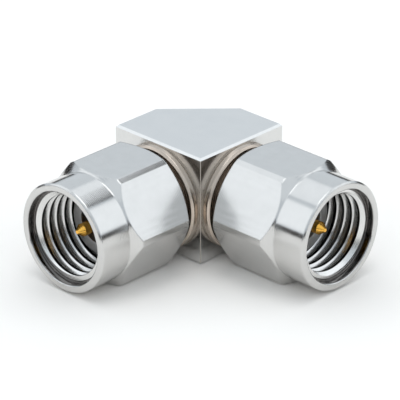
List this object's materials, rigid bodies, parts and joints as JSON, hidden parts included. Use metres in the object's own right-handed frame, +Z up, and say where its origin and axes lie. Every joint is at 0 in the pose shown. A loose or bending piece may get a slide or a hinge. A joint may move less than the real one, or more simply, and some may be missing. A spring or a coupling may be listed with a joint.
{
  "type": "right-angle coaxial adapter",
  "caption": "Right-angle coaxial adapter: mitred steel block joining male screw-on ports at 90 degrees, each with a free-turning hexagonal coupling nut and a gold contact pin.",
  "frame": {"origin": "on the block's bottom face, straight below the crossing of the two ports' axes", "axes": "+Z up; port b points along +X and port a along -Y, both 4 mm above the bottom face"},
  "size_m": [0.0177, 0.0177, 0.008],
  "materials": {
    "block_steel": "passivated, fine milled",
    "bush_steel": "passivated, turned",
    "tube_steel": "passivated, turned",
    "nut_steel": "passivated, turned and milled",
    "spring_bronze": "bare spring bronze",
    "bead_plastic": "machined fluoropolymer",
    "gold_plate": "gold plated"
  },
  "bodies": {
    "adapter_body": {"body_block": "block_steel", "flanged_bush_a": "bush_steel", "flanged_bush_b": "bush_steel", "outer_conductor_a": "tube_steel", "outer_conductor_b": "tube_steel", "support_bead_a": "bead_plastic", "support_bead_b": "bead_plastic", "center_contact_a": "gold_plate", "center_contact_b": "gold_plate"},
    "ring_a": {"snap_ring_a": "spring_bronze"},
    "nut_a": {"coupling_nut_a": "nut_steel"},
    "ring_b": {"snap_ring_b": "spring_bronze"},
    "nut_b": {"coupling_nut_b": "nut_steel"}
  },
  "joints": [
    {"name": "nut_float_a", "type": "slide", "parent": "adapter_body", "child": "ring_a", "axis": [0, -1, 0], "range_m": [-0.00015, 0.00015]},
    {"name": "nut_spin_a", "type": "hinge", "parent": "ring_a", "child": "nut_a", "pos_m": [0, -0.0065, 0.004], "axis": [0, -1, 0], "continuous": true},
    {"name": "nut_float_b", "type": "slide", "parent": "adapter_body", "child": "ring_b", "axis": [1, 0, 0], "range_m": [-0.00015, 0.00015]},
    {"name": "nut_spin_b", "type": "hinge", "parent": "ring_b", "child": "nut_b", "pos_m": [0.0065, 0, 0.004], "axis": [1, 0, 0], "continuous": true}
  ]
}
